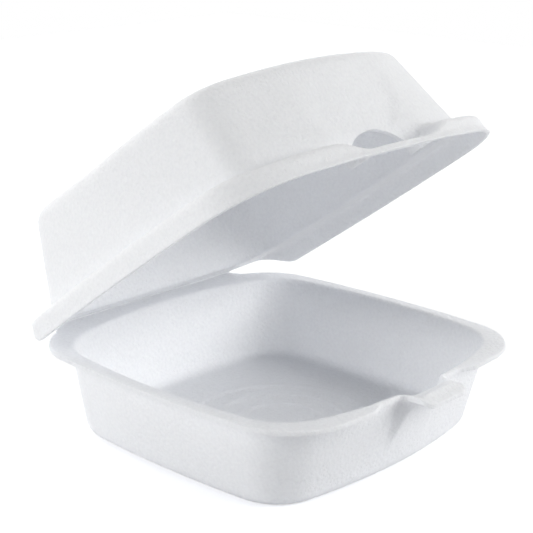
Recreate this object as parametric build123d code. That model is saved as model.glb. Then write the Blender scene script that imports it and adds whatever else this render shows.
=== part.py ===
"""Foam clamshell container: a square tray and a taller lid, pressed from one foam sheet and
joined by a crease along the back.  Millimetres, +Z up, the tray's underside on z = 0, front at -Y.
The tray is drawn where it stands and the lid is drawn closed, then swung open about the crease."""
import os
from math import atan2, cos, hypot, sin, sqrt
from build123d import *

# foam sheet and the room left between faces that pass each other
sheet = 2.0
swing_gap = 0.45

# tray: rim, mouth of the cavity and foot, each a square with bowed sides
rim_height = 35.4
rim_half_width = 72.2
rim_front = 71.2
rim_back = 74.5
rim_side_bow = 470.0
rim_end_bow = 620.0
rim_corner = 27.0
mouth_inset_side = 3.8
mouth_inset_front = 2.2
mouth_inset_back = 4.8
mouth_side_bow = 300.0
mouth_front_bow = 165.0
mouth_back_bow = 165.0
mouth_corner = 25.0
foot_half_width = 61.6
foot_front = 57.8
foot_back = 62.0
foot_side_bow = 400.0
foot_end_bow = 230.0
foot_corner = 19.5
foot_round = 5.0
floor_round = 4.0

# latch tab on the front of the tray, the spout below it and the notches beside it
tab_half_width = 11.5
tab_corner = 3.5
tab_root_round = 2.0
ridge_height = 0.9
ridge_half_length = 9.0
ridge_half_width = 1.6
ridge_round_share = 0.9
ridge_from_tip = 4.6
notch_half_width = 23.0
notch_run = 8.0
notch_depth = 3.0
notch_round = 9.0
spout_half_width = 12.6
spout_reach = 4.4
spout_start = 15.0
spout_round = 5.0

# rings pressed into the tray's floor
ring_radii = (16.0, 26.0, 36.0)
ring_half_width = 1.3
ring_height = 0.6

# crease of the hinge
crease_setback = 2.2
crease_rise = 0.5
crease_bead = 0.9
crease_gap = 0.3
web_half_width = 48.0
open_angle = 35.2

# lid: rim, shoulder that drops over the tray's rim, wall and top
lid_rim_drop = 7.6
lid_over_side = 4.1
lid_over_front = 12.3
lid_over_back = 2.5
lid_side_bow = 600.0
lid_front_bow = 300.0
lid_back_bow = 900.0
lid_front_corner = 33.0
lid_back_corner = 22.0
skirt_slope = 1.5
shoulder_ledge = 8.6
back_ledge = 3.2
lid_wall_height = 35.2
wall_side_bow = 400.0
wall_front_bow = 200.0
wall_back_bow = 700.0
wall_front_corner = 14.0
wall_back_corner = 19.0
wall_lean_side = 3.7
wall_lean_front = 4.0
wall_lean_back = 5.5
top_side_bow = 260.0
top_front_bow = 120.0
top_back_bow = 600.0
top_front_corner = 32.0
top_back_corner = 20.0
top_round = 5.0
shoulder_round = 2.4

# skirt of the lid swept up to the crease at the back corners
sweep_from = 49.0
sweep_to = 69.0

# scoop in the lid's front with the slot in its face and the locking bar at its foot
scoop_half_width = 17.0
scoop_flare = 14.0
scoop_spread = 18.0
scoop_depth = 3.0
scoop_round = 6.0
scoop_sheet_share = 0.8
slot_half_width = 15.0
slot_height = 8.0
bar_height = 2.4
bar_thickness = 3.0


def corner_arc(half_width, half_depth, side_bow, end_bow, corner):
    """Start, middle and end of the corner arc that touches the side arc and the end arc from inside."""
    side_centre = half_width - side_bow
    end_centre = half_depth - end_bow
    span = hypot(side_centre, end_centre)
    to_side = side_bow - corner
    to_end = end_bow - corner
    along = (to_side ** 2 - to_end ** 2 + span ** 2) / (2 * span)
    away = sqrt(to_side ** 2 - along ** 2)
    ux = -side_centre / span
    uy = end_centre / span
    cx = side_centre + along * ux - away * uy
    cy = along * uy + away * ux
    turn_side = atan2(cy, cx - side_centre)
    turn_end = atan2(cy - end_centre, cx)
    turn_middle = (turn_side + turn_end) / 2
    start = (side_centre + side_bow * cos(turn_side), side_bow * sin(turn_side))
    middle = (cx + corner * cos(turn_middle), cy + corner * sin(turn_middle))
    end = (end_bow * cos(turn_end), end_centre + end_bow * sin(turn_end))
    return start, middle, end


def bowed_square(half_width, front, back, side_bow, front_bow, back_bow, front_corner, back_corner, z):
    """Closed wire at height z: two long side arcs and two long end arcs joined by corner arcs."""
    half_depth = (front + back) / 2
    shift = (back - front) / 2
    (xs, ys), (xm, ym), (xe, ye) = corner_arc(half_width, half_depth, side_bow, back_bow, back_corner)
    (us, vs), (um, vm), (ue, ve) = corner_arc(half_width, half_depth, side_bow, front_bow, front_corner)

    def at(x, y):
        return Vector(x, y + shift, z)

    arcs = (
        (at(us, -vs), at(half_width, 0), at(xs, ys)),
        (at(xs, ys), at(xm, ym), at(xe, ye)),
        (at(xe, ye), at(0, half_depth), at(-xe, ye)),
        (at(-xe, ye), at(-xm, ym), at(-xs, ys)),
        (at(-xs, ys), at(-half_width, 0), at(-us, -vs)),
        (at(-us, -vs), at(-um, -vm), at(-ue, -ve)),
        (at(-ue, -ve), at(0, -half_depth), at(ue, -ve)),
        (at(ue, -ve), at(um, -vm), at(us, -vs)),
    )
    return Wire([Edge.make_three_point_arc(*arc) for arc in arcs])


def frustum(low, high):
    """Solid with straight sides between two outlines."""
    return Solid.make_loft([low, high], ruled=True)


def slab(outline, thickness):
    """Flat plate of the given thickness standing on the outline."""
    return Solid.extrude(Face(outline), Vector(0, 0, thickness))


def profile_along_x(points, half_length):
    """Bar along X whose section is the closed polygon of (y, z) points."""
    corners = [Vector(-half_length, y, z) for y, z in points]
    face = Face(Wire.make_polygon(corners, close=True))
    return Solid.extrude(face, Vector(2 * half_length, 0, 0))


def level_edges(solid, z):
    """Edges that lie in the plane at height z."""
    return [e for e in solid.edges() if abs(e.bounding_box().min.Z - z) < sheet / 100
            and abs(e.bounding_box().max.Z - z) < sheet / 100]


def upright_edges(solid):
    """Straight edges that stand upright."""
    return solid.edges().filter_by(Axis.Z)


# tray body
foot = (foot_half_width, foot_front, foot_back, foot_side_bow,
        foot_end_bow, foot_end_bow, foot_corner, foot_corner)
mouth_half_width = rim_half_width - mouth_inset_side
mouth_front = rim_front - mouth_inset_front
mouth_back = rim_back - mouth_inset_back
mouth = (mouth_half_width, mouth_front, mouth_back, mouth_side_bow,
         mouth_front_bow, mouth_back_bow, mouth_corner, mouth_corner)


def inset(shape, amount):
    """The same outline moved inwards by the amount."""
    return tuple(length - amount for length in shape)


tray_outer = frustum(bowed_square(*foot, 0), bowed_square(*mouth, rim_height))
tray_outer = tray_outer.fillet(foot_round, level_edges(tray_outer, 0))

lean = (mouth_half_width - foot_half_width) / rim_height
floor_foot = inset(foot, sheet - lean * sheet)
tray_inner = frustum(bowed_square(*floor_foot, sheet), bowed_square(*inset(mouth, sheet), rim_height))
tray_inner = tray_inner.fillet(floor_round, level_edges(tray_inner, sheet))

# rim plate with the hinge web, the notches and the tab
plate_low = rim_height - sheet
rim_outline = bowed_square(rim_half_width, rim_front, rim_back, rim_side_bow,
                           rim_end_bow, rim_end_bow, rim_corner, rim_corner, plate_low)
crease_y = rim_back + crease_setback
crease_z = rim_height + crease_rise
lid_front = rim_front + lid_over_front
tab_tip = lid_front - bar_thickness - swing_gap
plate = slab(rim_outline, sheet)
web = Pos(0, crease_y / 2, rim_height - sheet / 2) * Box(2 * web_half_width, crease_y, sheet)
bead = Pos(0, crease_y, crease_z) * Cylinder(crease_bead, 2 * web_half_width, rotation=(0, 90, 0))
tab = Pos(0, -tab_tip / 2, rim_height - sheet / 2) * Box(2 * tab_half_width, tab_tip, sheet)
notch_line = rim_front - notch_depth
notch_corners = [(-notch_half_width, -notch_line), (notch_half_width, -notch_line),
                 (notch_half_width + notch_run, -rim_front),
                 (notch_half_width + notch_run, -2 * rim_front),
                 (-notch_half_width - notch_run, -2 * rim_front),
                 (-notch_half_width - notch_run, -rim_front)]
notch_outline = Wire.make_polygon([Vector(x, y, plate_low - sheet) for x, y in notch_corners], close=True)
plate = plate - slab(notch_outline, 3 * sheet)
notch_edges = [e for e in upright_edges(plate) if e.center().Y < -notch_line + sheet
               and abs(e.center().X) < notch_half_width + notch_run + sheet]
plate = plate.fillet(notch_round, notch_edges)
plate = plate + web + bead
plate = plate + tab
tab_edges = [e for e in upright_edges(plate)
             if abs(abs(e.center().X) - tab_half_width) < sheet / 2 and e.center().Y < -notch_line + sheet]
tip_edges = [e for e in tab_edges if e.center().Y < -tab_tip + sheet]
plate = plate.fillet(tab_corner, tip_edges)
root_edges = [e for e in upright_edges(plate)
              if abs(abs(e.center().X) - tab_half_width) < sheet / 2
              and -notch_line - sheet < e.center().Y < -notch_line + sheet]
plate = plate.fillet(tab_root_round, root_edges)

# spout of the cavity under the tab
spout_low = mouth_front - (mouth_front - foot_front) * (1 - spout_start / rim_height)
spout_lip = mouth_front + spout_reach


def spout(grow, low_shift):
    """Wedge that widens the front wall outwards towards the tab."""
    wedge = profile_along_x([(-spout_low - grow, spout_start + low_shift),
                             (-spout_lip - grow, rim_height),
                             (-foot_front / 2, rim_height),
                             (-foot_front / 2, spout_start + low_shift)], spout_half_width + grow)
    front = [e for e in wedge.edges()
             if e.center().Y < -spout_low and abs(e.center().X) > spout_half_width / 2]
    return wedge.fillet(spout_round + grow, front)


tray = tray_outer + plate + spout(0, 0)
tray = tray - tray_inner - spout(-sheet, sheet)

# cross ridge on the tab and rings on the floor
ridge_y = -tab_tip + ridge_from_tip
ridge = Pos(0, ridge_y, rim_height) * Box(2 * ridge_half_length, 2 * ridge_half_width, 2 * ridge_height)
ridge = ridge.fillet(ridge_height * ridge_round_share, ridge.edges().filter_by(Axis.X))
tray = tray + ridge
for radius in ring_radii:
    ring = Cylinder(radius + ring_half_width, 2 * ring_height)
    ring = ring - Cylinder(radius - ring_half_width, 2 * ring_height)
    tray = tray + Pos(0, 0, sheet) * ring

# lid, drawn closed
lid_rim_z = rim_height - lid_rim_drop
ledge_z = rim_height + swing_gap
shoulder_z = ledge_z + sheet
lid_top_z = shoulder_z + lid_wall_height
lid_half_width = rim_half_width + lid_over_side
lid_back = rim_back + lid_over_back
rim_shape = (lid_half_width, lid_front, lid_back, lid_side_bow,
             lid_front_bow, lid_back_bow, lid_front_corner, lid_back_corner)
shoulder_shape = inset(rim_shape, skirt_slope)
wall_half_width = lid_half_width - skirt_slope - shoulder_ledge
wall_front = lid_front - skirt_slope - shoulder_ledge
wall_back = lid_back - skirt_slope - back_ledge
wall_shape = (wall_half_width, wall_front, wall_back, wall_side_bow,
              wall_front_bow, wall_back_bow, wall_front_corner, wall_back_corner)
top_shape = (wall_half_width - wall_lean_side, wall_front - wall_lean_front, wall_back - wall_lean_back,
             top_side_bow, top_front_bow, top_back_bow, top_front_corner, top_back_corner)

skirt_outer = frustum(bowed_square(*rim_shape, lid_rim_z), bowed_square(*shoulder_shape, shoulder_z))
skirt_outer = skirt_outer.fillet(shoulder_round, level_edges(skirt_outer, shoulder_z))
wall_outer = frustum(bowed_square(*wall_shape, ledge_z), bowed_square(*top_shape, lid_top_z))
wall_outer = wall_outer.fillet(top_round, level_edges(wall_outer, lid_top_z))
skirt_inner = frustum(bowed_square(*inset(rim_shape, sheet), lid_rim_z),
                      bowed_square(*inset(shoulder_shape, sheet), ledge_z))
wall_inner = frustum(bowed_square(*inset(wall_shape, sheet), ledge_z),
                     bowed_square(*inset(top_shape, sheet), lid_top_z - sheet))
wall_inner = wall_inner.fillet(top_round - sheet, level_edges(wall_inner, lid_top_z - sheet))

# scoop whose upright face lies behind the foot of the front wall and runs down to the locking bar
bar_top = lid_rim_z + bar_height
face_y = -wall_front + scoop_depth
scoop_sheet = sheet * scoop_sheet_share


def scoop(shift):
    """Space in front of the scoop's face, wider to the front and to the top, moved inwards by the shift."""
    outside = -lid_front - scoop_depth
    low_z = bar_top - shift
    corners = []
    for z, half in ((low_z, scoop_half_width), (lid_top_z, scoop_half_width + scoop_spread)):
        inner = half + shift
        outer = inner + scoop_flare
        corners.append([Vector(-outer, outside, z), Vector(outer, outside, z),
                        Vector(inner, face_y + shift, z), Vector(-inner, face_y + shift, z)])
    low, high = [Wire.make_polygon(points, close=True) for points in corners]
    cut = frustum(low, high)
    upright = [e for e in cut.edges() if e.center().Y > face_y + shift - sheet
               and abs(e.center().X) > scoop_half_width]
    return cut.fillet(scoop_round, upright)


skirt_outer = skirt_outer - scoop(0)
wall_outer = wall_outer - scoop(0)
skirt_inner = skirt_inner - scoop(scoop_sheet)
wall_inner = wall_inner - scoop(scoop_sheet)
lid = skirt_outer + wall_outer
lid = lid - skirt_inner - wall_inner

# locking bar thickened inwards, and the slot above it
bar = Pos(0, -lid_front + skirt_slope + (bar_thickness - skirt_slope) / 2, lid_rim_z + bar_height / 2)
bar = bar * Box(2 * scoop_half_width, bar_thickness - skirt_slope, bar_height)
lid = lid + bar
slot_z = rim_height - sheet - swing_gap
slot_start = -lid_front - sheet
slot_end = face_y + 2 * sheet
slot_arc = Edge.make_three_point_arc(Vector(-slot_half_width, slot_start, slot_z),
                                     Vector(0, slot_start, slot_z + slot_height),
                                     Vector(slot_half_width, slot_start, slot_z))
slot_foot = Edge.make_line(Vector(slot_half_width, slot_start, slot_z),
                           Vector(-slot_half_width, slot_start, slot_z))
slot = Solid.extrude(Face(Wire([slot_arc, slot_foot])), Vector(0, slot_end - slot_start, 0))
lid = lid - slot

# way up for the tab between the bar and the scoop's face
way_front = -lid_front + bar_thickness
way_low = lid_rim_z - sheet
way = Pos(0, (way_front + slot_end) / 2, (way_low + slot_z) / 2)
way = way * Box(2 * slot_half_width, slot_end - way_front, slot_z - way_low)
lid = lid - way

# the skirt sweeps up to the crease at both back corners
sweep_z = crease_z + swing_gap
sweep_end = lid_back + shoulder_ledge
below = lid_rim_z - sheet
sweep_start = Vector(-2 * lid_half_width, sweep_from, lid_rim_z)
sweep_stop = Vector(-2 * lid_half_width, sweep_to, sweep_z)
sweep_curve = Edge.make_spline([sweep_start, sweep_stop], tangents=[Vector(0, 1, 0), Vector(0, 1, 0)])
sweep_corners = [sweep_stop, Vector(-2 * lid_half_width, sweep_end, sweep_z),
                 Vector(-2 * lid_half_width, sweep_end, below),
                 Vector(-2 * lid_half_width, sweep_from, below), sweep_start]
sweep_lines = [Edge.make_line(p, q) for p, q in zip(sweep_corners, sweep_corners[1:])]
sweep = Solid.extrude(Face(Wire([sweep_curve] + sweep_lines)), Vector(4 * lid_half_width, 0, 0))
lid = lid - sweep

# the lid's half of the hinge web, hollowed round the bead of the crease
web_front = wall_back
web_end = crease_y - swing_gap
lid_web = Pos(0, (web_front + web_end) / 2, (sweep_z + shoulder_z) / 2)
lid_web = lid_web * Box(2 * web_half_width, web_end - web_front, shoulder_z - sweep_z)
groove = Cylinder(crease_bead + crease_gap, 2 * lid_half_width, rotation=(0, 90, 0))
lid = lid + lid_web - Pos(0, crease_y, crease_z) * groove

# the lid swung open about the crease
crease = Axis((0, crease_y, crease_z), (-1, 0, 0))
lid = lid.rotate(crease, open_angle)

os.makedirs("parts", exist_ok=True)
export_step(tray, "parts/base.step")
export_step(lid, "parts/lid.step")
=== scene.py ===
import bpy
import numpy as np
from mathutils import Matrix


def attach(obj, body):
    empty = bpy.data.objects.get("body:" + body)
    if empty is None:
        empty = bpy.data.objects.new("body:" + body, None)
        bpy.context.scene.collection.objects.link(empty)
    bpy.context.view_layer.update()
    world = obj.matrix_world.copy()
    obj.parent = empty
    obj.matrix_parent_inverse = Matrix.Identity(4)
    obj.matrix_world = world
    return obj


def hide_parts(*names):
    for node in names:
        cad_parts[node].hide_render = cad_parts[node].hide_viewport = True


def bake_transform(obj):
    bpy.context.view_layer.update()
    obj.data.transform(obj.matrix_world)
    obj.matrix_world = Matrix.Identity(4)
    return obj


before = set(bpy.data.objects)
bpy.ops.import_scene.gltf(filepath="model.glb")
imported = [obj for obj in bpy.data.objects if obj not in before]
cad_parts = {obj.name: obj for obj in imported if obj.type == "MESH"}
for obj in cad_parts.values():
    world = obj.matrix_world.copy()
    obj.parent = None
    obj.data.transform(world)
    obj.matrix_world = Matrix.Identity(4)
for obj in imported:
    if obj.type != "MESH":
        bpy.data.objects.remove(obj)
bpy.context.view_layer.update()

# Tray: the lower half of the box, a square bowl with a flat rim, pressed from 2 mm foam sheet.
# The press draws the walls down hot, rounds the foot, raises the rings of the floor and
# trims the rim with its latch tab, so inside and outside are one continuous skin.
sheet = 2.0
rim_height = 35.4
# half width, front, back, then the bows of sides, front and back, and the corners in front and behind
foot_shape = np.array([61.6, 57.8, 62.0, 400.0, 230.0, 230.0, 19.5, 19.5])
mouth_shape = np.array([68.4, 69.0, 69.7, 300.0, 165.0, 165.0, 25.0, 25.0])
rim_shape = np.array([72.2, 71.2, 74.5, 470.0, 620.0, 620.0, 27.0, 27.0])
front_x = np.linspace(-30.0, 30.0, 121)
end_steps = 10


def quarter(half_width, half_depth, side_bow, end_bow, corner):
    """Corner circle that touches a side arc and an end arc from inside: its centre lies where two
    circles round the arcs' centres meet, and the two angles are those at which it touches them."""
    side_centre = half_width - side_bow
    end_centre = half_depth - end_bow
    span = np.hypot(side_centre, end_centre)
    to_side = side_bow - corner
    to_end = end_bow - corner
    along = (to_side ** 2 - to_end ** 2 + span ** 2) / (2 * span)
    away = np.sqrt(to_side ** 2 - along ** 2)
    cx = side_centre - along * side_centre / span - away * end_centre / span
    cy = along * end_centre / span - away * side_centre / span
    return cx, cy, np.arctan2(cy, cx - side_centre), np.arctan2(cy - end_centre, cx)


def bowed_outline(shape):
    """Closed outline, anticlockwise from the left end of the front: a square whose four sides are
    long arcs, joined by corner arcs.  Columns of the front keep the same x in every outline."""
    half_width, front, back, side_bow, front_bow, back_bow, front_corner, back_corner = shape
    half_depth = (front + back) / 2
    fx, fy, front_side, front_end = quarter(half_width, half_depth, side_bow, front_bow, front_corner)
    bx, by, back_side, back_end = quarter(half_width, half_depth, side_bow, back_bow, back_corner)
    side_centre = half_width - side_bow

    def arc(x, y, radius, start, stop, steps):
        angle = np.linspace(start, stop, steps + 1)[:-1]
        return np.stack([x + radius * np.cos(angle), y + radius * np.sin(angle)], 1)

    reach = front_bow * np.cos(front_end)
    outer = np.linspace(0, 1, end_steps + 1)[:-1]
    x = np.concatenate([-reach + (reach + front_x[0]) * outer, front_x,
                        front_x[-1] + (reach - front_x[-1]) * outer[1:]])
    y = front_bow - half_depth - np.sqrt(front_bow ** 2 - x ** 2)
    outline = np.concatenate([
        np.stack([x, y], 1),
        arc(fx, -fy, front_corner, -front_end, -front_side, 34),
        arc(side_centre, 0, side_bow, -front_side, back_side, 30),
        arc(bx, by, back_corner, back_side, back_end, 34),
        arc(0, half_depth - back_bow, back_bow, back_end, np.pi - back_end, 40),
        arc(-bx, by, back_corner, np.pi - back_end, np.pi - back_side, 34),
        arc(-side_centre, 0, side_bow, np.pi - back_side, np.pi + front_side, 30),
        arc(-fx, -fy, front_corner, np.pi + front_side, np.pi + front_end, 34)])
    return outline + [0, (back - front) / 2]


def at_height(outline, z):
    """The outline's points lifted to the height z, one value or one for each column."""
    return np.column_stack([outline, np.broadcast_to(z, len(outline))])


def ease(x, start, stop):
    """Smooth step from 0 at start to 1 at stop: 3 t squared less 2 t cubed."""
    t = np.clip((x - start) / (stop - start), 0, 1)
    return t * t * (3 - 2 * t)


def rounded_section(keys, setbacks, arc_steps, runs):
    """Sections of all columns at once: straight runs from key to key, with an arc in place of each
    inner key.  The arc begins and ends its set-back away from the key and is a rational quadratic
    curve whose middle weight is the cosine of half the turn, so that it is part of a circle."""
    rows = [keys[0][None]]
    last = keys[0]
    for k in range(1, len(keys) - 1):
        before = keys[k - 1] - keys[k]
        after = keys[k + 1] - keys[k]
        length_before = np.linalg.norm(before, axis=1, keepdims=True)
        length_after = np.linalg.norm(after, axis=1, keepdims=True)
        before = before / length_before
        after = after / length_after
        back = np.minimum(setbacks[k], 0.45 * np.minimum(length_before, length_after))
        weight = np.sqrt(np.clip(1 - (before * after).sum(1, keepdims=True), 0, 2) / 2)
        start = keys[k] + before * back
        stop = keys[k] + after * back
        s = np.linspace(0, 1, arc_steps[k] + 1)[:, None, None]
        top = (1 - s) ** 2 * start + 2 * weight * s * (1 - s) * keys[k] + s ** 2 * stop
        arc = top / ((1 - s) ** 2 + 2 * weight * s * (1 - s) + s ** 2)
        share = runs[k - 1][1:-1, None, None]
        rows += [last + (start - last) * share, arc]
        last = stop
    share = runs[-1][1:-1, None, None]
    rows += [last + (keys[-1] - last) * share, keys[-1][None]]
    return np.concatenate(rows)


def shell_faces(rows, columns):
    """Faces of a grid closed round its columns: squares between the rows, and a fan of triangles
    at the first and at the last row, whose points all lie in one place."""
    i = np.arange(1, rows - 2)[:, None]
    j = np.arange(columns)[None]
    right = (j + 1) % columns
    squares = np.stack([i * columns + j, (i + 1) * columns + j,
                        (i + 1) * columns + right, i * columns + right], 2)
    first = np.stack([0 * j[0], columns + j[0], columns + right[0]], 1)
    low = (rows - 2) * columns
    last = np.stack([low + j[0], 0 * j[0] + low + columns, low + right[0]], 1)
    return squares, first, last


def foam_piece(name, points, faces):
    """Mesh object of the points, given in millimetres, and the faces, without unused points."""
    used = np.unique(np.concatenate([np.ravel(f) for f in faces]))
    place = np.zeros(len(points), int)
    place[used] = np.arange(len(used))
    corners = [f for block in faces for f in place[block].reshape(-1, block.shape[-1]).tolist()]
    mesh = bpy.data.meshes.new(name)
    mesh.from_pydata((points[used] / 1000).tolist(), [], corners)
    mesh.set_sharp_from_angle(angle=np.radians(50))
    piece = bpy.data.objects.new(name, mesh)
    bpy.context.scene.collection.objects.link(piece)
    return piece


foot_line = bowed_outline(foot_shape)
mouth_line = bowed_outline(mouth_shape)
floor_line = bowed_outline(foot_shape - 1.6)
lip_line = bowed_outline(mouth_shape - sheet)
rim_line = bowed_outline(rim_shape)
front = np.zeros(len(rim_line), bool)
front[end_steps:end_steps + len(front_x)] = True

# the rim runs out to the crease at the back, over the width of the hinge
crease_y = 76.7
crease_z = 35.9
web_end = 54.0
web_full = 49.5
rim_short = 0.2
web = ease(np.abs(rim_line[:, 0]), web_end, web_full) * (rim_line[:, 1] > 0)
rim_line[:, 1] += (crease_y - rim_short - rim_line[:, 1]) * web

# the rim dips beside the tab, and the tab stands out with a rounded root and tip
tab_half_width = 11.5
tab_tip = 80.05
tab_corner = 3.5
tab_root = 2.0
root_x = tab_half_width + tab_root
notch_y = 68.2
notch_end = 31.5
notch_full = 22.5
notch_depth = 3.0
rim_line[:, 1] += notch_depth * ease(np.abs(rim_line[:, 0]), notch_end, notch_full) * front
quarter_turn = np.linspace(0, np.pi / 2, 40)
tab_path = np.concatenate([
    np.stack([root_x - tab_root * np.sin(quarter_turn), notch_y + tab_root * (1 - np.cos(quarter_turn))], 1),
    np.stack([tab_half_width - tab_corner * (1 - np.cos(quarter_turn)),
              tab_tip - tab_corner * (1 - np.sin(quarter_turn))], 1),
    [[0, tab_tip]]])
tab_length = np.concatenate([[0], np.cumsum(np.hypot(*np.diff(tab_path, axis=0).T))])
on_tab = front & (np.abs(rim_line[:, 0]) < root_x)
tab_x = rim_line[on_tab, 0]
along = (1 - np.abs(tab_x) / root_x) * tab_length[-1]
rim_line[on_tab, 0] = np.sign(tab_x) * np.interp(along, tab_length, tab_path[:, 0])
rim_line[on_tab, 1] = -np.interp(along, tab_length, tab_path[:, 1])

# the wall bulges out to the tab as a spout, inside and outside
spout_from = 14.0
spout_reach = 4.0
spout_inside = (13.5, 8.0)
spout_outside = (16.5, 9.0)
under_rim = 0.7
wall_share = (rim_height - sheet) / rim_height
neck_line = foot_line + (mouth_line - foot_line) * wall_share
inner_low = floor_line + (lip_line - floor_line) * (spout_from - sheet) / (rim_height - sheet)
outer_low = foot_line + (mouth_line - foot_line) * (spout_from - sheet) / rim_height
lip_line[:, 1] -= spout_reach * ease(np.abs(lip_line[:, 0]), *spout_inside) * front
neck_line[:, 1] -= spout_reach * ease(np.abs(neck_line[:, 0]), *spout_outside) * front
neck_line[front, 1] = np.maximum(neck_line[front, 1], rim_line[front, 1] + under_rim)

floor_middle = np.array([[0.0, 2.1]]) + 0 * foot_line
tray_keys = [at_height(floor_middle, sheet), at_height(floor_line, sheet), at_height(inner_low, spout_from),
             at_height(lip_line, rim_height), at_height(rim_line, rim_height),
             at_height(rim_line, rim_height - sheet), at_height(neck_line, rim_height - sheet),
             at_height(outer_low, spout_from - sheet), at_height(foot_line, 0), at_height(floor_middle, 0)]
tray_skin = rounded_section(tray_keys, [0, 5.0, 6.0, 1.7, 0.5, 0.5, 1.6, 6.0, 4.6, 0],
                            [0, 8, 6, 7, 5, 5, 5, 6, 8, 0],
                            [np.linspace(0, 1, n) for n in (70, 6, 9, 26, 2, 6, 9, 6, 10)])

# cross ridge pressed up on the tab, whose tip droops, and plain rings on the floor
ridge_y = -75.6
ridge_width = 0.75
ridge_height = 1.3
ridge_ends = (9.8, 8.4)
tip_droop = 1.1
droop_span = (76.2, 80.2)
ring_width = 1.2
ring_height = 0.6
on_top = np.abs(tray_skin[..., 2] - rim_height) < 0.5
ridge = np.exp(-((tray_skin[..., 1] - ridge_y) / ridge_width) ** 2)
ridge *= ease(np.abs(tray_skin[..., 0]), *ridge_ends) * (tray_skin[..., 1] < -70)
tray_skin[..., 2] += ridge_height * ridge * on_top
tray_skin[..., 2] -= tip_droop * ease(-tray_skin[..., 1], *droop_span)
on_floor = np.abs(tray_skin[..., 2] - sheet) < 0.01
radius = np.hypot(tray_skin[..., 0], tray_skin[..., 1])
for ring in (16.0, 26.0, 36.0):
    tray_skin[..., 2] += ring_height * np.exp(-((radius - ring) / ring_width) ** 2) * on_floor

rows, columns = tray_skin.shape[:2]
tray = foam_piece("foam_tray", tray_skin.reshape(-1, 3), shell_faces(rows, columns))


# Expanded polystyrene sheet: closed cells a millimetre across under a thin pressed skin.  It gives
# a soft white with a fine orange peel, a little light carried below the skin, and a dull sheen.
def linear(hex_colour):
    """sRGB hex colour as linear red, green, blue and full alpha."""
    srgb = np.array([int(hex_colour[k:k + 2], 16) for k in (1, 3, 5)]) / 255
    return (*np.where(srgb <= 0.04045, srgb / 12.92, ((srgb + 0.055) / 1.055) ** 2.4), 1.0)


def add_node(tree, kind, settings=None, inputs=None, links=None):
    """Adds one node: settings are its own values, inputs its socket values, and links the sockets
    that feed it."""
    node = tree.nodes.new(kind)
    for name, value in (settings or {}).items():
        setattr(node, name, value)
    for name, value in (inputs or {}).items():
        node.inputs[name].default_value = value
    for name, socket in (links or {}).items():
        tree.links.new(socket, node.inputs[name])
    return node


foam = bpy.data.materials.new("expanded_polystyrene_sheet")
foam.use_nodes = True
tree = foam.node_tree
tree.nodes.clear()
cell_mm = 1.3
ripple_mm = 9.0
place = add_node(tree, "ShaderNodeTexCoord")
cells = add_node(tree, "ShaderNodeTexNoise",
                 inputs={"Scale": 1000 / cell_mm, "Detail": 2.0, "Roughness": 0.55},
                 links={"Vector": place.outputs["Object"]})
ripple = add_node(tree, "ShaderNodeTexNoise", inputs={"Scale": 1000 / ripple_mm, "Detail": 1.0},
                  links={"Vector": place.outputs["Object"]})
peel = add_node(tree, "ShaderNodeBump", inputs={"Strength": 1.0, "Distance": 0.0005},
                links={"Height": cells.outputs["Fac"]})
sway = add_node(tree, "ShaderNodeBump", inputs={"Strength": 0.35, "Distance": 0.0006},
                links={"Height": ripple.outputs["Fac"], "Normal": peel.outputs["Normal"]})
tone = add_node(tree, "ShaderNodeValToRGB", links={"Fac": cells.outputs["Fac"]})
tone.color_ramp.elements[0].position = 0.3
tone.color_ramp.elements[0].color = linear("#F3F5FA")
tone.color_ramp.elements[1].position = 0.7
tone.color_ramp.elements[1].color = linear("#F9FBFF")
skin = add_node(tree, "ShaderNodeBsdfPrincipled",
                inputs={"Roughness": 0.55, "IOR": 1.45, "Specular IOR Level": 0.35,
                        "Subsurface Weight": 0.95, "Subsurface Radius": (1.0, 1.0, 1.0),
                        "Subsurface Scale": 0.0035},
                links={"Base Color": tone.outputs["Color"], "Normal": sway.outputs["Normal"]})
add_node(tree, "ShaderNodeOutputMaterial", links={"Surface": skin.outputs["BSDF"]})
tray.data.materials.append(foam)
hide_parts("base")
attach(tray, "tray")

# Lid: the taller upper half of the same sheet.  A shoulder drops over the tray's rim, its skirt sweeps
# up to the crease at the back corners, and at the front it is scooped out for the slot and its bar.
lid_rim_shape = np.array([76.3, 83.5, 77.0, 600.0, 300.0, 900.0, 33.0, 22.0])
shoulder_shape = lid_rim_shape - 1.5
wall_shape = np.array([66.2, 73.4, 72.3, 400.0, 200.0, 700.0, 12.0, 19.0])
top_shape = np.array([61.8, 68.6, 62.8, 260.0, 130.0, 600.0, 19.0, 20.0])
lid_rim_z = 27.8
ledge_z = 35.85
shoulder_z = 37.85
lid_top_z = 73.05
open_angle = np.radians(35.2)

rim_out = bowed_outline(lid_rim_shape)
rim_in = bowed_outline(lid_rim_shape - sheet)
shoulder_out = bowed_outline(shoulder_shape)
shoulder_in = bowed_outline(shoulder_shape - sheet)
wall_out = bowed_outline(wall_shape)
wall_in = bowed_outline(wall_shape - sheet)
top_out = bowed_outline(top_shape)
top_in = bowed_outline(top_shape - sheet)

# the skirt's edge climbs to the level of the crease round the back corners and meets it at the hinge
climb_span = (57.0, 73.5)
climb_short = 0.25
edge_short = 0.4
climb = ease(rim_out[:, 1], *climb_span)
edge_z = lid_rim_z + (ledge_z - climb_short - lid_rim_z) * climb
up = ((edge_z - lid_rim_z) / (shoulder_z - lid_rim_z))[:, None]
edge_out = rim_out + (shoulder_out - rim_out) * up
edge_in = rim_in + (shoulder_in - rim_in) * up
web = ease(np.abs(edge_out[:, 0]), web_end, web_full) * (edge_out[:, 1] > 0)
edge_out[:, 1] += (crease_y - edge_short - edge_out[:, 1]) * web

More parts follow.
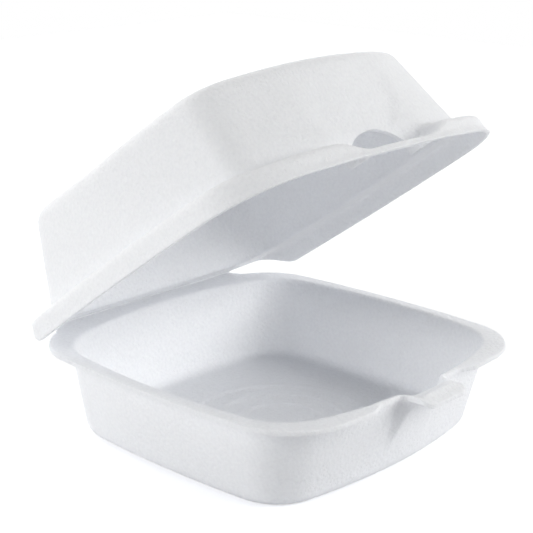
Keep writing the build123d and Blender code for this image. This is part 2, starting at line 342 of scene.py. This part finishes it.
# the scoop draws the shoulder down to the bar over the middle of the front
bar_top = lid_rim_z + 2.4
shelf_low = lid_rim_z + 0.4
scoop_out = -70.4
scoop_in = -68.6
scoop_full = 17.0
shoulder_end = 32.0
wall_end = 28.0
inner_end = 27.0
in_front = rim_out[:, 1] < -60


def scooped(outline, z, scoop_y, scoop_z, start, stop):
    """Outline at its height, drawn towards the scoop's own depth and height by a share that grows from none
    where |x| is start to all of the way where it is stop."""
    points = at_height(outline, z)
    share = ease(np.abs(outline[:, 0]), start, stop) * in_front
    points[:, 1] += (scoop_y - points[:, 1]) * share
    points[:, 2] += (scoop_z - points[:, 2]) * share
    return points


def lip_root(edge, shoulder):
    """Points a little above the edge, where the skirt turns out into its lip: 2.4 mm up, or less than half
    of a low skirt, and drawn inwards by a third of the skirt's slope."""
    rise = np.minimum(2.4, 0.45 * (shoulder[:, 2] - edge[:, 2]))
    share = rise / (shoulder[:, 2] - edge[:, 2])
    points = edge.copy()
    points[:, :2] += (shoulder[:, :2] - edge[:, :2]) * (share + 0.35)[:, None]
    points[:, 2] += rise
    return points


# the ledge falls a little to its edge, most at the front, and the top rises a little to the back
side_fall = 1.0
front_fall = 1.6
front_fall_inside = 1.8
back_rise = 3.2
fall = side_fall + front_fall * ease(-rim_out[:, 1], 60.0, 78.0)
inner_fall = front_fall_inside * ease(-rim_out[:, 1], 66.0, 78.0)
top_rise = back_rise * ease(top_out[:, 1], 0.0, 66.0)

# the soft sheet leans in a little at the right front corner of the top
lean_in = 3.6
lean_up = 1.6
lean = ease(top_out[:, 0], 15.0, 60.0) * ease(-top_out[:, 1], -10.0, 55.0)
top_out[:, 0] -= lean_in * lean
top_in[:, 0] -= lean_in * lean
top_rise += lean_up * lean

# keys of the section, from the middle of the top down the outside and up the inside
top_middle = 0 * top_out
outer_edge = at_height(edge_out, edge_z)
inner_edge = at_height(edge_in, edge_z)
outer_shoulder = scooped(shoulder_out, shoulder_z - fall, rim_out[:, 1] + 1.1, bar_top,
                         shoulder_end, scoop_full)
inner_shoulder = scooped(shoulder_in, ledge_z - inner_fall, rim_in[:, 1] + 1.0, shelf_low,
                         inner_end, scoop_full)
lid_keys = [at_height(top_middle, lid_top_z), at_height(top_out, lid_top_z + top_rise),
            scooped(wall_out, shoulder_z - 0.4 * fall, scoop_out, bar_top, wall_end, scoop_full),
            outer_shoulder, lip_root(outer_edge, outer_shoulder), outer_edge,
            inner_edge, lip_root(inner_edge, inner_shoulder), inner_shoulder,
            scooped(wall_in, ledge_z, scoop_in, shelf_low, inner_end, scoop_full),
            at_height(top_in, lid_top_z - sheet + top_rise), at_height(top_middle, lid_top_z - sheet)]
wall_run = np.concatenate([np.linspace(0, 0.7, 15)[:-1], np.linspace(0.7, 1, 25)])
flat_run = np.linspace(0, 1, 12)
shelf_run = np.linspace(0, 1, 13)
skirt_run = np.linspace(0, 1, 6)
lip_run = np.linspace(0, 1, 3)
top_arc = 9
wall_arc = 6
lid_skin = rounded_section(lid_keys, [0, 5.2, 1.6, 2.4, 0.8, 0.4, 0.4, 0.8, 1.6, 1.6, 4.0, 0],
                           [0, top_arc, wall_arc, 7, 4, 3, 3, 4, 7, wall_arc, top_arc, 0],
                           [flat_run, wall_run, shelf_run, skirt_run, lip_run, np.linspace(0, 1, 2),
                            lip_run, skirt_run, shelf_run, 1 - wall_run[::-1], flat_run])
rows, columns = lid_skin.shape[:2]

# the slot: a D cut through the scoop's face, open below as far as the bar.  The grid round it is
# drawn in so that the edges of a block of squares lie on the arch, and the block is left out.
slot_z = 32.0
slot_half_width = 16.5
slot_height = 8.4
slot_radius = (slot_half_width ** 2 + slot_height ** 2) / (2 * slot_height)
middle = end_steps + len(front_x) // 2
half_slot = int(round(slot_half_width / (front_x[1] - front_x[0])))
slot_top = int(np.argmin(np.abs(lid_skin[:rows // 2, middle, 2] - slot_z - slot_height)))
shelf_start = len(flat_run) - 1 + top_arc + 1 + len(wall_run) - 2 + wall_arc + 1
slot_low = shelf_start + 10


def arch_warp(points, top):
    """Moves the points of one skin: m is the larger of |x| over the slot's half width and the height over
    its top.  Where m is 1 the square's edge goes onto the arch, at the same share of the way round
    from the slot's end to its crown, and the move fades out to nothing where m is 2.2."""
    x = points[..., 0] / slot_half_width
    h = np.maximum((points[..., 2] - slot_z) / top, 0)
    m = np.maximum(np.maximum(np.abs(x), h), 1e-6)
    side = np.abs(x) >= h
    way = np.where(side, 0.5 * h / m, 1 - 0.5 * np.abs(x) / m)
    angle = np.arcsin(slot_half_width / slot_radius) * (1 - way)
    dx = np.sign(x) * slot_radius * np.sin(angle) - x / m * slot_half_width
    dz = slot_radius * np.cos(angle) - slot_radius + slot_height - h / m * top
    fade = ease(m, 2.2, 1.0) * (h > 0) * front
    points[..., 0] += dx * fade
    points[..., 2] += dz * fade


arch_warp(lid_skin[:slot_low], lid_skin[slot_top, middle, 2] - slot_z)
arch_warp(lid_skin[rows - slot_low:], lid_skin[rows - 1 - slot_top, middle, 2] - slot_z)

squares, first, last = shell_faces(rows, columns)
row = np.arange(1, rows - 2)[:, None]
column = np.arange(columns)[None]
in_slot = (column >= middle - half_slot) & (column < middle + half_slot)
outer_hole = in_slot & (row >= slot_top) & (row < slot_low)
inner_hole = in_slot & (row >= rows - 1 - slot_low) & (row < rows - 1 - slot_top)
squares = squares[~(outer_hole | inner_hole)]

# cut faces of the slot between the outer and the inner skin, all the way round
left, right = middle - half_slot, middle + half_slot
across = np.arange(left, right)
down = np.arange(slot_top, slot_low)
ring_row = np.concatenate([0 * across + slot_top, down, 0 * across + slot_low, down[::-1] + 1])
ring_column = np.concatenate([across, 0 * down + right, across[::-1] + 1, 0 * down + left])
outer_ring = ring_row * columns + ring_column
inner_ring = (rows - 1 - ring_row) * columns + ring_column
cut = np.stack([outer_ring, np.roll(outer_ring, -1), np.roll(inner_ring, -1), inner_ring], 1)

# over the front corners of the tray the ledge stays level, just clear of the tray's rim
rim_clearance = 0.15
rim_angle = np.arctan2(rim_line[:, 1], rim_line[:, 0])
order = np.argsort(rim_angle)
x, y, z = np.moveaxis(lid_skin[rows // 2:], 2, 0)
beyond = np.hypot(x, y) - np.interp(np.arctan2(y, x), rim_angle[order], np.hypot(*rim_line[order].T))
at_corner = (np.abs(x) > 36) & (np.abs(x) < 62) & (y < -58) & (z > 34.5)
over_rim = ease(beyond, 2.2, 0.7) * at_corner
lid_skin[rows // 2:, :, 2] = z + np.maximum(rim_height + rim_clearance - z, 0) * over_rim

# the lid is shaped shut and swung open about the crease
dy = lid_skin[..., 1] - crease_y
dz = lid_skin[..., 2] - crease_z
lid_skin[..., 1] = crease_y + dy * np.cos(open_angle) + dz * np.sin(open_angle)
lid_skin[..., 2] = crease_z + dz * np.cos(open_angle) - dy * np.sin(open_angle)
lid = foam_piece("foam_lid", lid_skin.reshape(-1, 3), (squares, first, last, cut))
lid.data.materials.append(foam)
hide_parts("lid")
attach(lid, "cover")

# Crease: the sheet between the two halves, pressed thin so that it bends.  It is a strip round the
# hinge line from the tray's rim to the lid's shoulder.
outer_bend = 2.15
inner_bend = 0.6
strip_half_width = 50.5
turn = np.radians(np.linspace(-98, 60, 28))
outer_arc = np.stack([crease_y + outer_bend * np.cos(turn), crease_z + outer_bend * np.sin(turn)], 1)
inner_arc = np.stack([crease_y + inner_bend * np.cos(turn), crease_z + inner_bend * np.sin(turn)], 1)
profile = np.concatenate([outer_arc, inner_arc[::-1]])
across = np.linspace(-strip_half_width, strip_half_width, 20)
strip = np.concatenate([np.broadcast_to(across[:, None, None], (len(across), len(profile), 1)),
                        np.broadcast_to(profile, (len(across), len(profile), 2))], 2)
count = len(profile)
i = np.arange(len(across) - 1)[:, None] * count
j = np.arange(count)[None]
after = (j + 1) % count
sides = np.stack([i + j, i + j + count, i + after + count, i + after], 2)
j = np.arange(count // 2 - 1)
cap = np.stack([j, j + 1, count - 2 - j, count - 1 - j], 1)
far_cap = cap[:, ::-1] + (len(across) - 1) * count
crease = foam_piece("foam_crease", strip.reshape(-1, 3), (sides, cap, far_cap))
crease.data.materials.append(foam)
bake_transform(crease)

# Floor: a flat sheet of plain pale studio paper that the box stands on.
# The camera sees it white, apart from the box's soft shadow.
def seen_rays(tree):
    """Socket that is 1 on rays that the camera sees, straight, mirrored or let through, and else 0."""
    path = add_node(tree, "ShaderNodeLightPath")
    larger = {"operation": "MAXIMUM"}
    mirrored = add_node(tree, "ShaderNodeMath", larger)
    tree.links.new(path.outputs["Is Camera Ray"], mirrored.inputs[0])
    tree.links.new(path.outputs["Is Glossy Ray"], mirrored.inputs[1])
    passed = add_node(tree, "ShaderNodeMath", larger)
    tree.links.new(mirrored.outputs[0], passed.inputs[0])
    tree.links.new(path.outputs["Is Transmission Ray"], passed.inputs[1])
    return passed.outputs[0]


floor_m = 1.0
floor_corners = [(-floor_m, -floor_m, 0), (floor_m, -floor_m, 0),
                 (floor_m, floor_m, 0), (-floor_m, floor_m, 0)]
floor_mesh = bpy.data.meshes.new("floor")
floor_mesh.from_pydata(floor_corners, [], [(0, 1, 2, 3)])
floor = bpy.data.objects.new("floor", floor_mesh)
bpy.context.scene.collection.objects.link(floor)
paper = bpy.data.materials.new("studio_paper")
paper.use_nodes = True
tree = paper.node_tree
tree.nodes.clear()
seen = seen_rays(tree)
matt = add_node(tree, "ShaderNodeBsdfDiffuse", inputs={"Color": linear("#E4E5E8")})
white = add_node(tree, "ShaderNodeEmission", inputs={"Color": linear("#FDFDFD"), "Strength": 0.5})
both = add_node(tree, "ShaderNodeAddShader")
tree.links.new(matt.outputs[0], both.inputs[0])
tree.links.new(white.outputs[0], both.inputs[1])
mix = add_node(tree, "ShaderNodeMixShader")
tree.links.new(seen, mix.inputs[0])
tree.links.new(matt.outputs[0], mix.inputs[1])
tree.links.new(both.outputs[0], mix.inputs[2])
add_node(tree, "ShaderNodeOutputMaterial", links={"Surface": mix.outputs[0]})
floor_mesh.materials.append(paper)

# Light: a soft lamp low on the left, one in front on the right, weaker ones
# on the right and behind, and a dim even room that looks white to the camera.
world = bpy.data.worlds.new("studio")
bpy.context.scene.world = world
world.use_nodes = True
tree = world.node_tree
tree.nodes.clear()
seen = seen_rays(tree)
room = add_node(tree, "ShaderNodeBackground", inputs={"Color": linear("#F8F9FB"), "Strength": 0.15})
white = add_node(tree, "ShaderNodeBackground", inputs={"Color": linear("#FFFFFF"), "Strength": 1.0})
mix = add_node(tree, "ShaderNodeMixShader")
tree.links.new(seen, mix.inputs[0])
tree.links.new(room.outputs[0], mix.inputs[1])
tree.links.new(white.outputs[0], mix.inputs[2])
add_node(tree, "ShaderNodeOutputWorld", links={"Surface": mix.outputs[0]})

aim_m = np.array([0, 0, 0.06])
for name, place_m, size_m, watts in (("key_lamp", (-1.3, 0.4, 0.6), 0.9, 11.5),
                                     ("front_lamp", (0.72, -1.12, 0.65), 0.9, 15.0),
                                     ("side_lamp", (1.15, 0.85, 0.5), 1.0, 4.0),
                                     ("back_lamp", (0.2, 1.25, 0.7), 1.0, 7.5)):
    lamp = bpy.data.lights.new(name, "AREA")
    lamp.shape = "DISK"
    lamp.size = size_m
    lamp.energy = watts
    lamp_object = bpy.data.objects.new(name, lamp)
    bpy.context.scene.collection.objects.link(lamp_object)
    away = np.array(place_m) - aim_m
    flat = np.hypot(away[0], away[1])
    lamp_object.location = place_m
    lamp_object.rotation_euler = (np.arctan2(flat, away[2]), 0, np.arctan2(away[0], -away[1]))

# Camera: a long lens on the left of the front corner, a little above the rim.
# It is turned about the upright and tilted down, then rolled a third of a degree.
target = np.array([-0.00697, 0.0027, 0.07285])
azimuth, elevation, roll = np.radians([-47.4, 16.26, 0.35])
distance = 0.519
back = np.array([np.sin(azimuth) * np.cos(elevation), -np.cos(azimuth) * np.cos(elevation),
                 np.sin(elevation)])
camera_data = bpy.data.cameras.new("camera")
camera_data.sensor_width = 36.0
camera_data.lens = 92.5
camera_data.shift_x = 0.004
camera_data.shift_y = -0.031
camera = bpy.data.objects.new("camera", camera_data)
bpy.context.scene.collection.objects.link(camera)
camera.location = target + back * distance
camera.rotation_mode = "QUATERNION"
half = 0.5 * np.array([np.pi / 2 - elevation, azimuth, roll])
tilt = np.array([np.cos(half[0]), np.sin(half[0]), 0, 0])


def turned(p, q):
    """Product of two quaternions: the turn q followed by the turn p."""
    real = p[0] * q[0] - p[1:] @ q[1:]
    return np.concatenate([[real], p[0] * q[1:] + q[0] * p[1:] + np.cross(p[1:], q[1:])])


spin = np.array([np.cos(half[1]), 0, 0, np.sin(half[1])])
bank = np.array([np.cos(half[2]), 0, 0, np.sin(half[2])])
camera.rotation_quaternion = turned(turned(spin, tilt), bank)
bpy.context.scene.camera = camera
bpy.context.scene.view_settings.view_transform = "Standard"
